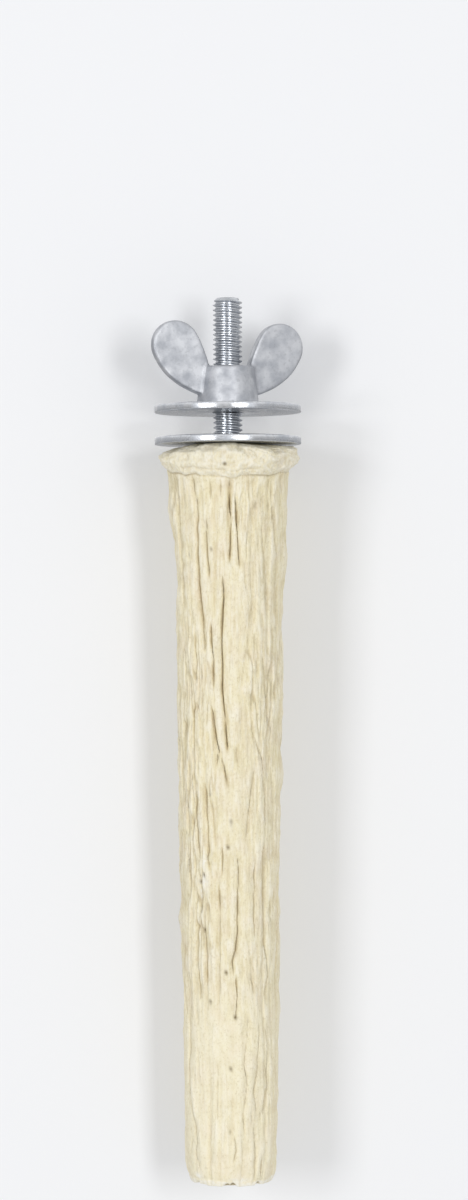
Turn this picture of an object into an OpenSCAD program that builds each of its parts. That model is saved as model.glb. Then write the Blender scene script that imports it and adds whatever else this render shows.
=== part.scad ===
// Cage perch: a tapered rod of cast cement with a bark surface, held by a bolt that is
// cast into its head. Two wide washers and a wing nut clamp it to the wires of a cage.
// Lengths are in millimetres and angles in degrees.
// The Z axis is the axis of the bolt. The origin lies in the upper face of the inner
// washer, where the cage wires are clamped, and the rod hangs below it.

/* [Rod] */
// Length of the cement, from the flat top of its head to its tip
rod_len = 150; // [110:1:220]
// Diameter of the plain taper, carried on up to the top of the head
rod_top_d = 23.2; // [20:0.2:26]
// Diameter of the plain taper, carried on down to the tip
rod_tip_d = 19.2; // [14:0.2:20]
// Diameter of the flared neck, at the top of the head
neck_d = 25.4; // [23:0.2:26]
// Length over which the flare of the neck dies out
flare_len = 34; // [16:1:50]
// Length over which the tip rounds off
tip_len = 6; // [3:0.5:14]
// How far the edge of the flat end lies inside the taper
tip_inset = 1.6; // [0.4:0.2:5]

/* [Collar] */
// Greatest diameter of the collar
collar_d = 29.6; // [27.2:0.1:34]
// Diameter of the top of the collar where none of it is bevelled away
collar_top_d = 27.8; // [20:0.2:29]
// Diameter of the flat seat that carries the inner washer
seat_d = 13; // [11:0.2:18]
// How far the collar's top sinks below that seat at most
seat_sink = 1.6; // [0:0.1:2.4]
// Height from the seat to the lip of the collar, where the lip is highest
collar_h = 5; // [4:0.2:12]
// How far the lip hangs lower where it is lowest
lip_wave = 2; // [0:0.1:3]
// How far the lip stands out from the neck
lip_over = 0.4; // [0.1:0.1:1]
// Depth of the groove below the lip, in from the neck
lip_groove = 0.5; // [0.2:0.1:1]
// Height of the groove below the lip
lip_groove_h = 0.5; // [0.2:0.1:1]
// Height of the lumps in the side of the collar
collar_lump = 0.5; // [0:0.1:0.8]

/* [Bark] */
// Number of furrows round the rod
furrow_count = 24; // [14:2:30]
// Depth of the deepest furrow
furrow_depth = 1.1; // [0.4:0.1:1.6]
// Length along the rod over which a furrow deepens and fades
furrow_run = 15; // [8:1:40]
// Length along the rod over which a furrow wanders to one side
wander_run = 22; // [10:1:40]
// Height of the lumps in the ridges between the furrows
ridge_lump = 0.35; // [0:0.05:0.5]
// Length along the rod of a lump in a ridge
ridge_run = 7; // [4:0.5:20]

/* [Bolt] */
// Outer diameter of the bolt's thread
bolt_d = 6; // [4:0.5:8]
// Length of the bolt that stands out of the cement
stud_len = 30; // [24:1:60]
// Length of the bolt in the cement, down to its hexagon head
bolt_set = 30; // [12:1:70]
// Width of the hexagon head across its flats
bolt_head_w = 10; // [9:0.5:13]
// Height of the hexagon head
bolt_head_h = 4; // [2.5:0.5:6]
// Chamfer at the free end of the bolt
stud_chamfer = 0.8; // [0.2:0.1:1.2]

/* [Washers] */
// Outer diameter of both washers
washer_d = 30; // [24:1:44]
// Thickness of both washers
washer_t = 1.5; // [0.8:0.1:2.5]
// Width of the broken edges of both washers
washer_edge = 0.25; // [0.05:0.05:0.35]
// Gap between the washers, open for a wire of the cage
wire_gap = 5; // [2.2:0.1:8]

/* [Wing nut] */
// Diameter of the boss where it meets the washer
boss_d = 13; // [12:0.5:18]
// Diameter of the boss at its top
boss_top_d = 11; // [10.4:0.2:14]
// Height of the boss
boss_h = 8; // [6:0.5:12]
// Distance across the tips of both wings
wing_span = 33; // [28:1:44]
// Height from the washer to the top of the wings
wing_h = 17; // [15:0.5:24]
// Thickness of a wing
wing_t = 2.2; // [1.6:0.1:3]
// Radius of the rounded ear of a wing
ear_r = 5; // [3.5:0.25:6]
// Height at which the lower edge of a wing leaves the boss
wing_foot_h = 1.6; // [0.5:0.1:3]
// Width of the countersinks at both ends of the nut's bore
bore_sink = 0.5; // [0.1:0.1:1]
// Angle to which the nut is turned
nut_angle = 22; // [0:1:90]

/* [Fits] */
// Gap all round between the bolt and the hole of a washer
washer_play = 0.2; // [0.1:0.05:0.5]
// Gap all round between the bolt and the bore of the nut
nut_play = 0.05; // [0.02:0.01:0.1]

/* [Hidden] */

$fn = 96;
cement_colour = [0.89, 0.85, 0.74];
zinc_colour = [0.74, 0.75, 0.77];

// Cuts run this far past the faces that they leave
overrun = 1;

// Heights of what lies on the Z axis
head_top_z = -washer_t;
stud_end_z = head_top_z + stud_len;
bolt_head_z = head_top_z - bolt_set;
outer_washer_z = wire_gap;
nut_z = outer_washer_z + washer_t;

// The mesh of the rod: each furrow has a column of points along its bottom and one on
// either flank, given as shares of the way to the next furrow
column_shares = [0, 0.3, 0.7];
// Length along the rod between two rings of points
ring_step = 3;
// The tip is rounded by this many rings, which turn in by this angle up to its crisp rim
tip_rings = 4;
tip_turn = 60;

// The collar is widest at this share of its height
waist_share = 0.55;
// Its outline down to there: the share of the way down, and of the way out
upper_shares = [[0, 0], [0.25, 0.5], [0.6, 0.88], [1, 1]];
// Its outline from there down to the lip: the share of the way down, and of the way in
lower_shares = [[0.4, 0.2], [0.75, 0.6], [1, 1]];
// Eight shares round the collar each, from the front towards +X: how much of its top is
// bevelled away to the seat, how far the top sinks, and how low the lip hangs
bevel_shares = [0.3, 0.1, 0, 0.35, 0.6, 0.7, 0.95, 0.7];
sink_shares = [0.2, 0.7, 0.35, 0.4, 0.3, 0.5, 0.2, 0.1];
lip_shares = [1, 0.75, 0.2, 0.4, 0.7, 0.5, 0, 0.8];

// The front of the rod faces -Y, and furrows are numbered from there towards +X
front_angle = -90;
// How far a furrow wanders, as a share of the distance between two furrows
wander_share = 0.38;
// How many stretches round the rod wander by themselves, of about two furrows each
wander_patches = round(furrow_count / 2);
// How many lumps lie round the collar
lump_patches = 8;
// Half the width of a furrow, as a share of the half distance to the next one
furrow_width_share = 0.55;
// Depth of a furrow where it has faded out, as a share of the deepest
shallow_share = 0.18;
// A furrow deepens while its own noise climbs from the first share to the second
gate_shares = [0.35, 0.8];
// Share of the way that the furrows have opened already where they leave the collar
neck_furrow_share = 0.35;
// Share of their depth that the furrows keep at the edge of the flat end
tip_furrow_share = 0.5;
// Share of the rod's length over which a long crack opens and closes
crack_end_share = 0.025;
// Long cracks seen from the front: the number of the furrow, and the shares of the rod's
// length between which it stays deep
crack_shares = [
    [0, 0.06, 0.13], [1, 0.06, 0.14], [-3, 0.05, 0.18], [-2, 0.08, 0.19],
    [0, 0.17, 0.38], [-1, 0.2, 0.31], [-2, 0.33, 0.4], [3, 0.26, 0.38],
    [-2, 0.43, 0.56], [-3, 0.45, 0.54], [1, 0.53, 0.7], [-3, 0.58, 0.71],
    [3, 0.53, 0.72], [4, 0.7, 0.9], [-5, 0.55, 0.93], [-1, 0.75, 0.92],
    [1, 0.75, 0.94], [2, 0.77, 0.9]
];

// Numbers that make each noise differ from the others
wander_seed = 1;
gate_seed = 2;
ridge_seed = 3;
lump_seed = 4;
// Turns and gain of the sine that gives the noise its even spread of values
noise_turns = [127.1, 311.7, 74.7];
noise_gain = 9973.3;

// Small helpers
function clamped(t) = min(1, max(0, t));
function eased(t) = let(c = clamped(t)) c * c * (3 - 2 * c);
function between(a, b, t) = a + (b - a) * t;
function wrapped(i, period) = i - period * floor(i / period);

// An even chance from 0 to 1 for one lattice point
function chance(i, j, seed) =
    let(mixed = noise_gain * sin([i, j, seed] * noise_turns))
    mixed - floor(mixed);

// Smooth noise from 0 to 1, which repeats round the rod after a number of steps of u
function noise(u, v, period, seed) =
    let(
        i = floor(u),
        j = floor(v),
        a = eased(u - i),
        b = eased(v - j),
        left = wrapped(i, period),
        right = wrapped(i + 1, period)
    )
    between(
        between(chance(left, j, seed), chance(right, j, seed), a),
        between(chance(left, j + 1, seed), chance(right, j + 1, seed), a),
        b
    );

// The same noise from -1 to 1
function swing(u, v, period, seed) = 2 * noise(u, v, period, seed) - 1;

// The place u furrows round from the front, counted in patches
function patch(u, patches) = u * patches / furrow_count;

// Direction of the point u furrows round from the front, at depth s below the flat top
function bark_angle(u, s) =
    let(wander = wander_share * swing(
        patch(u, wander_patches), s / wander_run, wander_patches, wander_seed))
    front_angle + (u + wander) * 360 / furrow_count;

// How open furrow k is at depth s, as a share of the deepest furrow
function furrow_share(k, s) =
    let(
        own = noise(k, s / furrow_run, furrow_count, gate_seed),
        gate = eased((own - gate_shares[0]) / (gate_shares[1] - gate_shares[0])),
        along = s / rod_len,
        cracks = [for (c = crack_shares)
            wrapped(c[0] - k, furrow_count) == 0
            ? eased((along - c[1]) / crack_end_share) * eased((c[2] - along) / crack_end_share)
            : 0]
    )
    between(shallow_share, 1, max(gate, max(cracks)));

// How far the surface lies below the ridges, u furrows round and at depth s
function furrow_dip(u, s) =
    let(
        k = round(u),
        off_share = 2 * abs(u - k) / furrow_width_share
    )
    furrow_depth * furrow_share(k, s) * (1 - eased(off_share));

// Radius of the rod over its ridges
function rod_r(s) =
    let(
        taper_d = between(rod_top_d, rod_tip_d, s / rod_len),
        flare_d = (neck_d - rod_top_d) * (1 - eased(s / flare_len))
    )
    (taper_d + flare_d) / 2;

// Radius of the bark. fade takes the furrows away where the rod meets its collar and tip
function bark_r(u, s, fade) =
    rod_r(s)
    - fade * furrow_dip(u, s)
    - ridge_lump * noise(u, s / ridge_run, furrow_count, ridge_seed);

// A value between shares that stand evenly round the collar, eased from each to the next
function shared(u, shares) =
    let(
        spot = u * len(shares) / furrow_count,
        i = floor(spot),
        here = shares[wrapped(i, len(shares))],
        following = shares[wrapped(i + 1, len(shares))]
    )
    between(here, following, eased(spot - i));

// Depth of the collar's surface, u furrows round. share runs from its top to its lip
function collar_s(u, share) =
    let(sink = seat_sink * shared(u, sink_shares) * (1 - eased(share / waist_share)))
    collar_h * share + sink + eased(share) * lip_wave * shared(u, lip_shares);

// Radius of the collar above its waist. out runs from its top's edge to its greatest radius
function upper_r(u, out) =
    let(
        top_r = between(collar_top_d, seat_d, shared(u, bevel_shares)) / 2,
        lump = collar_lump * noise(patch(u, lump_patches), out, lump_patches, lump_seed)
    )
    between(top_r, collar_d / 2 - lump, out);

function place(u, s, r) =
    let(angle = bark_angle(u, s))
    [r * cos(angle), r * sin(angle), head_top_z - s];

// Where each column lies, in furrows round from the front
column_places = [for (k = [0 : furrow_count - 1], share = column_shares) k + share];

// The edge of the flat seat
seat_ring = [for (u = column_places) place(u, 0, seat_d / 2)];

// Rings of the collar, down to its waist and on to the lip
upper_points = [for (c = upper_shares)
    [for (u = column_places) place(u, collar_s(u, waist_share * c[0]), upper_r(u, c[1]))]];
neck_r = rod_r(collar_h);
lower_points = [for (c = lower_shares)
    let(share = between(waist_share, 1, c[0]))
    [for (u = column_places)
        place(u, collar_s(u, share), between(upper_r(u, 1), neck_r + lip_over, c[1]))]];

// The ring at the root of the lip, in the groove below it
groove_ring = [for (u = column_places) place(u, collar_s(u, 1), neck_r - lip_groove)];

// Rings of the bark, whose furrows open within one step of the groove
bark_end_s = rod_len - tip_len;
bark_steps = max(2, round((bark_end_s - collar_h) / ring_step));
bark_points = [for (i = [0 : bark_steps])
    [for (u = column_places)
        let(
            top_s = collar_s(u, 1) + lip_groove_h,
            s = between(top_s, bark_end_s, i / bark_steps),
            fade = eased((s - top_s) / ring_step + neck_furrow_share)
        )
        place(u, s, bark_r(u, s, fade))]];

// Rings of the rounded tip, where the furrows fade towards the flat end
tip_points = [for (i = [1 : tip_rings])
    let(
        turn = tip_turn * i / tip_rings,
        s = bark_end_s + tip_len * sin(turn) / sin(tip_turn),
        round_share = (1 - cos(turn)) / (1 - cos(tip_turn)),
        fade = between(1, tip_furrow_share, round_share)
    )
    [for (u = column_places)
        place(u, s, bark_r(u, s, fade) - tip_inset * round_share)]];

rings = concat([seat_ring], upper_points, lower_points, [groove_ring], bark_points, tip_points);

// A closed skin over rings of points, with a fan at either end
module lofted(rings) {
    count = len(rings[0]);
    last = len(rings) - 1;
    top_point = len(rings) * count;
    end_point = top_point + 1;
    points = concat(
        [for (ring = rings, p = ring) p],
        [[0, 0, rings[0][0].z], [0, 0, rings[last][0].z]]
    );
    sides = [for (i = [0 : last - 1], j = [0 : count - 1])
        let(
            a = i * count + j,
            b = i * count + (j + 1) % count,
            c = a + count,
            d = b + count
        )
        each [[a, b, c], [b, d, c]]];
    top = [for (j = [0 : count - 1]) [top_point, (j + 1) % count, j]];
    end = [for (j = [0 : count - 1])
        [end_point, last * count + j, last * count + (j + 1) % count]];
    polyhedron(points = points, faces = concat(sides, top, end));
}

// The bolt with its head down: a hexagon head with a chamfered underside, a plain shank
// of the thread's outer diameter, and a chamfered end
module bolt_form() {
    corner_d = bolt_head_w / cos(30);
    chamfer = (corner_d - bolt_head_w) / 2;
    shank_r = bolt_d / 2;
    translate([0, 0, bolt_head_z])
        cylinder(h = stud_end_z - stud_chamfer - bolt_head_z, r = shank_r);
    translate([0, 0, stud_end_z - stud_chamfer])
        cylinder(h = stud_chamfer, r1 = shank_r, r2 = shank_r - stud_chamfer);
    translate([0, 0, bolt_head_z - bolt_head_h])
        intersection() {
            cylinder(h = bolt_head_h, d = corner_d, $fn = 6);
            union() {
                cylinder(h = chamfer, d1 = bolt_head_w, d2 = corner_d);
                translate([0, 0, chamfer])
                    cylinder(h = bolt_head_h - chamfer, d = corner_d);
            }
        }
}

// A flat washer whose outer edges are broken, standing on z = 0
module washer_form() {
    outer_r = washer_d / 2;
    hole_r = bolt_d / 2 + washer_play;
    rotate_extrude()
        polygon([
            [hole_r, 0],
            [outer_r - washer_edge, 0],
            [outer_r, washer_edge],
            [outer_r, washer_t - washer_edge],
            [outer_r - washer_edge, washer_t],
            [hole_r, washer_t]
        ]);
}

// A point of the smooth curve from a to c that is drawn towards b
function curve_point(a, b, c, t) =
    between(between(a, b, t), between(b, c, t), t);

// A wing seen from the side, as distances from the axis and above the washer
ear_centre = [wing_span / 2 - ear_r, wing_h - ear_r];
// The ear is round between these angles, and its edges run on from there to the boss
ear_start = -25;
ear_end = 150;
// How far each edge runs on in line with the ear before it bends, as shares of the ear
lower_reach_share = 1.4;
upper_reach_share = 0.8;
wing_curve_steps = 8;
ear_steps = 16;

function ear_point(angle) = ear_centre + ear_r * [cos(angle), sin(angle)];
function ear_heading(angle) = [-sin(angle), cos(angle)];

module wing_outline() {
    root_x = (bolt_d / 2 + nut_play + boss_top_d / 2) / 2;
    foot = [root_x, wing_foot_h];
    top = [root_x, boss_h - wing_foot_h / 2];
    lower_bend = ear_point(ear_start) - lower_reach_share * ear_r * ear_heading(ear_start);
    upper_bend = ear_point(ear_end) + upper_reach_share * ear_r * ear_heading(ear_end);
    polygon(concat(
        [for (i = [0 : wing_curve_steps - 1])
            curve_point(foot, lower_bend, ear_point(ear_start), i / wing_curve_steps)],
        [for (i = [0 : ear_steps])
            ear_point(between(ear_start, ear_end, i / ear_steps))],
        [for (i = [1 : wing_curve_steps])
            curve_point(ear_point(ear_end), upper_bend, top, i / wing_curve_steps)]
    ));
}

module wing() {
    rotate([90, 0, 0])
        linear_extrude(height = wing_t, center = true)
            wing_outline();
}

module cement_perch() {
    color(cement_colour)
        difference() {
            lofted(rings);
            bolt_form();
        }
}

module anchor_bolt() {
    color(zinc_colour)
        bolt_form();
}

module inner_washer() {
    color(zinc_colour)
        translate([0, 0, head_top_z])
            washer_form();
}

module outer_washer() {
    color(zinc_colour)
        translate([0, 0, outer_washer_z])
            washer_form();
}

module wing_nut() {
    bore_r = bolt_d / 2 + nut_play;
    color(zinc_colour)
        translate([0, 0, nut_z])
            rotate(nut_angle)
                difference() {
                    union() {
                        cylinder(h = boss_h, d1 = boss_d, d2 = boss_top_d);
                        wing();
                        rotate(180)
                            wing();
                    }
                    translate([0, 0, -overrun])
                        cylinder(h = boss_h + 2 * overrun, r = bore_r);
                    cylinder(h = bore_sink, r1 = bore_r + bore_sink, r2 = bore_r);
                    translate([0, 0, boss_h - bore_sink])
                        cylinder(h = bore_sink, r1 = bore_r, r2 = bore_r + bore_sink);
                }
}

cement_perch();
anchor_bolt();
inner_washer();
outer_washer();
wing_nut();
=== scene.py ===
import math

import bmesh
import bpy
import numpy as np
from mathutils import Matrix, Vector


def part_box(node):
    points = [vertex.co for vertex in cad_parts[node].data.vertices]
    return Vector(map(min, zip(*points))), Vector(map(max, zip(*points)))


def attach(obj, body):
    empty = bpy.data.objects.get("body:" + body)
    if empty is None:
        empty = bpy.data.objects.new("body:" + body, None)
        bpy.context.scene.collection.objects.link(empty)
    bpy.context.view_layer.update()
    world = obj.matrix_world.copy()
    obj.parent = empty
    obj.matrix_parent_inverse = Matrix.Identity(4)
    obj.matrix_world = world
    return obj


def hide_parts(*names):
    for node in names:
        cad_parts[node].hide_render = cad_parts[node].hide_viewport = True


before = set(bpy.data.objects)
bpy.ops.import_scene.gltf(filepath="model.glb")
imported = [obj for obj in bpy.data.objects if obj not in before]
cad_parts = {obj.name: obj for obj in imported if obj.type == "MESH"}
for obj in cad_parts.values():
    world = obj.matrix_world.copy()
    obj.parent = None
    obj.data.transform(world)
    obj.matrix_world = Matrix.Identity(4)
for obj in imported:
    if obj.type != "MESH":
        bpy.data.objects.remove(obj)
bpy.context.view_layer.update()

# The looks of a cage perch: a rod of cast cement with a bark surface, hung on a bolt, with
# two wide washers and a wing nut. Shapes are worked out in millimetres in the frame of the
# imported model, and MM turns them into metres where a mesh is made.
MM = 0.001

# Heights and sizes from the frame
STUD_END_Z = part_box("anchor_bolt")[1][2] / MM
BOLT_BOTTOM_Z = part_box("anchor_bolt")[0][2] / MM
HEAD_TOP_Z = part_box("inner_washer")[0][2] / MM
OUTER_WASHER_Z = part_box("outer_washer")[0][2] / MM
NUT_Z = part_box("wing_nut")[0][2] / MM
ROD_LEN = HEAD_TOP_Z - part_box("cement_perch")[0][2] / MM
WASHER_D = (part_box("outer_washer")[1][0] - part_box("outer_washer")[0][0]) / MM
WASHER_T = NUT_Z - OUTER_WASHER_Z

# The photograph's size in pixels
PHOTO_W = 468
PHOTO_H = 1200
# One of its pixels at the rod's axis, in millimetres
PHOTO_MM = 0.2042
# The ends of the rod's axis in it
ROD_TOP_PX = (228.0, 444.5)
ROD_TIP_PX = (231.5, 1179.0)
# The camera's distance from the rod, and how near and far it sees in metres
CAMERA_DISTANCE = 620
CAMERA_CLIP = (0.01, 10.0)
# The rod leans by this angle in the photograph
LEAN = math.atan2(ROD_TIP_PX[0] - ROD_TOP_PX[0], ROD_TIP_PX[1] - ROD_TOP_PX[1])
# Where the camera looks: how far right of the axis, and how far below the head's top
CAMERA_S = (PHOTO_H / 2 - ROD_TOP_PX[1]) * PHOTO_MM
CAMERA_X = (PHOTO_W / 2 - ROD_TOP_PX[0]) * PHOTO_MM - CAMERA_S * math.tan(LEAN)

# Rod
ROD_TOP_D = 23.2
ROD_TIP_D = 19.2
NECK_D = 25.4
FLARE_LEN = 34
TIP_LEN = 6
TIP_INSET = 1
TIP_TURN = 60

# Collar
COLLAR_D = 29.6
COLLAR_TOP_D = 27.8
COLLAR_H = 5
SEAT_D = 13
SEAT_SINK = 1.6
LIP_OVER = 0.4
WAIST_SHARE = 0.55
LIP_WAVE = 2
LIP_GROOVE = 0.5
LIP_GROOVE_H = 0.5
NECK_FURROW_SHARE = 0.35
COLLAR_LUMP = 0.5
UPPER_SHARES = ((0, 0), (0.25, 0.5), (0.6, 0.88), (1, 1))
LOWER_SHARES = ((0, 0), (0.4, 0.2), (0.75, 0.6), (1, 1))
# Shares in eighths of a turn, anticlockwise from the front
BEVEL_SHARES = (0.3, 0.1, 0.0, 0.35, 0.6, 0.7, 0.95, 0.7)
SINK_SHARES = (0.2, 0.7, 0.35, 0.4, 0.3, 0.5, 0.2, 0.1)
LIP_SHARES = (1.0, 0.75, 0.2, 0.4, 0.7, 0.5, 0.0, 0.8)

# Bark, as the solid has it
FURROW_COUNT = 24
FURROW_DEPTH = 1.1
FURROW_RUN = 15
WANDER_RUN = 22
RIDGE_LUMP = 0.35
RIDGE_RUN = 7
RING_STEP = 3
FRONT_ANGLE = -90
WANDER_SHARE = 0.38
WANDER_PATCHES = 12
LUMP_PATCHES = 8
FURROW_WIDTH_SHARE = 0.55
SHALLOW_SHARE = 0.18
GATE_RISE = (0.35, 0.8 - 0.35)
TIP_FURROW_SHARE = 0.5
WANDER_SEED, GATE_SEED, RIDGE_SEED, LUMP_SEED = range(1, 5)
NOISE_TURNS = (127.1, 311.7, 74.7)
NOISE_GAIN = 9973.3

# Bolt
BOLT_D = 6
PITCH = 1
THREAD_DEPTH = 0.61
BOLT_HEAD_W = 10
BOLT_HEAD_H = 4
STUD_CHAMFER = 0.8
# How far the thread runs into the cement, and how much thinner than its pocket the shank is
THREAD_SET = 2 * PITCH
END_DOME = 0.12
SHANK_CLEAR = 0.05
HEAD_EDGE = 0.15
HEAD_RIM_H = 0.1
HEAD_RIM_SLOPE = 0.58
# The thread's profile over one pitch: shares of the pitch and of the depth
THREAD_SHARES = (
    (0, 0), (0.125, 0), (0.28, 0.5), (0.42, 0.94), (0.5625, 1), (0.7, 0.94), (0.85, 0.5),
)

# Washers
WASHER_PLAY = 0.2
FACE_PLAY = 0.02
# The washers: name, lower face, seed of their nicks, body and node
WASHERS = (
    ("cement_side_washer", HEAD_TOP_Z, 111, "perch", "inner_washer"),
    ("cage_side_washer", OUTER_WASHER_Z, 121, "outer_washer", "outer_washer"),
)
# A washer's section: how far each point lies from the edge of the hole or from the rim, and
# from the face beside it. The side has shares of the thickness.
HOLE_ROLL = ((0, 0.25), (0.07, 0.08), (0.22, 0), (2.5, 0))
RIM_ROLL = ((1.2, 0), (0.42, 0.01), (0.2, 0.06), (0.06, 0.17), (0.01, 0.36))
RIM_SIDE = ((0, 0.55), (0.02, 0.4))
RIM_BURR = ((0.01, 0.16), (0.05, 0.05), (0.13, 0), (1.4, 0))
HOLE_BURR = ((0.1, 0), (0, 0.06))
TOP_FACE_SHARE = 0.6
LOWER_FACE_SHARE = 0.5
# Nicks in the rim: depth, and cells round it
NICKS = ((0.03, 60), (0.02, 120))
NICK_RISE = (-1, 0.8)

# Wing nut
BOSS_D = 13
BOSS_TOP_D = 11
BOSS_H = 8
WING_SPAN = 33
WING_H = 17
WING_T = 2.2
EAR_R = 5
WING_FOOT_H = 1.6
BORE_SINK = 0.5
NUT_PLAY = 0.05
NUT_ANGLE = 22
EAR_ANGLES = (-25, 150)
LOWER_REACH_SHARE = 1.4
UPPER_REACH_SHARE = 0.8
# Shares of a wing's thickness at its root and its ear, and how far in it starts to thin
WING_SHARES = (1.2, 0.88)
WING_ROOT = 1
# Boss and wings are this much smaller before they are melted together
NUT_SKIN = 0.1
WING_SKIN = 0.02
OVERRUN = 1

# The mesh of the cement: columns round it, and rings along each stretch of it
COLUMNS = 384
BARK_RINGS = 184
COLLAR_RINGS = 40
TIP_RINGS = 22
END_RINGS = 7
# The meshes of the hardware. An edge is crisp from some angle between its faces.
BOLT_COLUMNS = 48
WASHER_COLUMNS = 192
BOSS_COLUMNS = 96
BORE_COLUMNS = 64
WING_POINTS = 13
EAR_POINTS = 33
CENTRE_R = 0.02
POCKET_CENTRE_R = 0.01
END_SHARES = (0.02, 0.4, 0.8)
NUT_VOXEL = 0.24
NUT_SMOOTHING = 0.6
NUT_SMOOTH_ROUNDS = 8
JOIN_DISTANCE = 0.002
SLIVER_DISTANCE = 0.0005
BOLT_CRISP_ANGLE = 35
WASHER_CRISP_ANGLE = 40
NUT_CRISP_ANGLE = 50

# Cracks in the front of the bark: how deep each is, as a share of the deepest, and then its
# course down the rod, x and y in pixels of the photograph in turn
CRACKS_PX = (
    (1.0, 229.5, 480, 230, 505, 230.7, 535, 230.2, 560),
    (0.9, 235.5, 498, 237, 518, 237.7, 543, 240, 567),
    (1.0, 192, 482, 192, 494, 195, 510, 195.6, 560, 197, 588, 203, 650),
    (0.8, 204.7, 524, 204.4, 539, 206, 560, 208, 577),
    (1.0, 222, 581, 223, 602, 221, 639, 222.5, 703, 224.6, 723, 228, 749),
    (0.5, 174.5, 482, 176.6, 518, 182, 581, 181.6, 602),
    (0.5, 209.6, 485, 209.6, 498),
    (0.5, 220.8, 483, 220.8, 494),
    (0.4, 250.3, 478, 250.3, 502),
    (0.4, 270, 478, 270, 511),
    (0.4, 282, 479, 282, 500),
    (0.35, 263, 530, 266.4, 574, 269, 595, 267, 613),
    (0.4, 273.4, 511, 277, 560, 278.6, 620),
    (0.4, 276, 602, 277.6, 636),
    (0.8, 209.5, 626, 210.5, 640, 211.7, 657, 212.5, 691),
    (0.9, 210.5, 711, 213.8, 733, 218, 753, 215.5, 763),
    (0.8, 221.3, 762, 224.6, 773, 227.4, 784),
    (0.4, 194, 640, 194.4, 657, 195, 683),
    (0.7, 203.5, 790, 205.6, 819, 207.2, 851, 206, 858, 208.5, 868),
    (1.0, 194.2, 799, 196.4, 831, 198.3, 860),
    (0.4, 182, 715, 188, 781, 187.3, 806, 186.8, 839),
    (0.6, 222, 851, 221.8, 873),
    (0.5, 236, 852, 239.5, 872, 238.5, 905, 238, 934, 236.5, 951, 232, 962),
    (0.8, 238.5, 900, 238, 934, 236.5, 951, 232, 962, 233.7, 972),
    (0.35, 262.8, 657, 266, 681, 267.7, 706, 272, 733, 274.4, 743),
    (0.4, 252, 695, 252, 720, 256, 740, 262.8, 760, 267, 802, 266, 827),
    (0.5, 266, 849, 265.6, 872, 266.6, 947, 269.4, 975, 266.6, 998),
    (0.3, 256, 770, 249.5, 819, 247, 842),
    (0.4, 256, 869, 256, 905, 255.3, 936),
    (0.3, 236, 746, 238.7, 763),
    (0.6, 218.6, 890, 219, 912),
    (0.3, 219, 915, 219.5, 990),
    (0.7, 200.5, 889, 199.8, 914),
    (0.7, 195, 924, 196, 956, 198, 998),
    (0.7, 201.7, 930, 204.5, 956, 205.5, 983),
    (0.7, 237.4, 979, 237.4, 998, 236, 1019),
    (0.4, 272, 905, 272, 932),
    (0.4, 252.5, 975, 254.4, 994),
    (0.3, 248.7, 1017, 246, 1050, 245, 1066, 248.7, 1081, 244, 1116, 245, 1135),
    (0.35, 260, 1028, 259, 1060, 260, 1069, 256, 1096, 259, 1114),
    (0.5, 267.5, 1032, 269.4, 1060, 270, 1088, 266.6, 1109, 262.8, 1116),
    (0.55, 187.6, 975, 188.5, 1088, 192.3, 1116, 196, 1141, 194, 1154, 197, 1165),
    (0.4, 234.6, 1137, 237.4, 1150, 233.7, 1163),
    (0.3, 252.5, 1116, 257, 1143, 258, 1158, 257, 1180),
    (0.5, 263.8, 1160, 263.8, 1176),
    (0.3, 217, 1069, 217, 1124),
)
# Small pits in the front: place in pixels of the photograph, and radius
PITS_PX = (
    (225, 464, 0.35), (257, 505, 0.38), (210.3, 548, 0.3), (186.7, 556, 0.25),
    (231.3, 823, 0.4), (228, 848, 0.35), (199.5, 882, 0.35), (203, 875, 0.25),
    (226, 973, 0.35), (208.9, 1003, 0.4), (230.9, 1070.5, 0.35), (201.7, 931, 0.3),
    (235.6, 1018, 0.35), (230, 1134, 0.3),
)
# White dust rubbed into the bark: place in pixels, and how far it reaches across and along
DUST_PX = (
    (203, 862, 3.5, 12), (204, 880, 5, 12), (199, 893, 3.5, 8), (170, 465, 6, 4),
    (196, 1176, 8, 5), (240, 1182, 14, 4),
)
# Swells of the rod's outline, and hollows below nought: direction from the front in degrees,
# depth down the rod, half length, height
OUTLINE_SWELLS = (
    (90, 14, 8, 0.4), (90, 24.5, 7.5, 0.9), (90, 33, 4, 0.25), (90, 48, 11, 0.5),
    (90, 57, 9, 0.45), (90, 67, 6, 0.75), (90, 75, 3, 0.2), (90, 83.5, 3.5, 0.28),
    (90, 95.5, 4, 0.25), (90, 104, 7, 0.65), (90, 115, 5, 0.45), (90, 133, 2.5, 0.33),
    (90, 142, 8, -0.32), (-90, 13, 5, 0.35), (-90, 21.5, 5, -0.65), (-90, 27, 5.5, -0.7),
    (-90, 41, 3, -0.25),
    (-90, 50.5, 6, 0.22), (-90, 65.4, 3, 0.27), (-90, 77, 4, 0.24), (-90, 87, 2.5, 0.22),
    (-90, 97, 4, 0.48), (-90, 114, 7, -0.38), (-90, 129, 3, -0.15), (-90, 142.5, 8, 0.45),
)
SWELL_REACH = 40.0
# Chips in the edge of the tip: direction from the front, half width, depth
TIP_CHIPS = (
    (-6, 1.4, 0.65), (2, 1.3, 0.85), (40, 1.3, 0.7), (-44, 2.2, 0.2), (86, 2.3, 0.4),
    (124, 1.6, 0.5), (165, 2.6, 0.35), (212, 1.9, 0.5), (251, 2.2, 0.3), (305, 1.6, 0.45),
)
# Lumps pressed under the washer: direction from the front, half width, height
COLLAR_LUMPS = (
    (-19, 3.4, 0.45), (1, 2.2, 0.5), (27, 3.8, 0.3), (63, 2.8, 0.4), (98, 3.6, 0.35),
    (131, 2.4, 0.45), (166, 3.9, 0.35), (204, 2.6, 0.45), (241, 3.4, 0.3), (278, 2.7, 0.45),
    (312, 3.0, 0.35),
)

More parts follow.
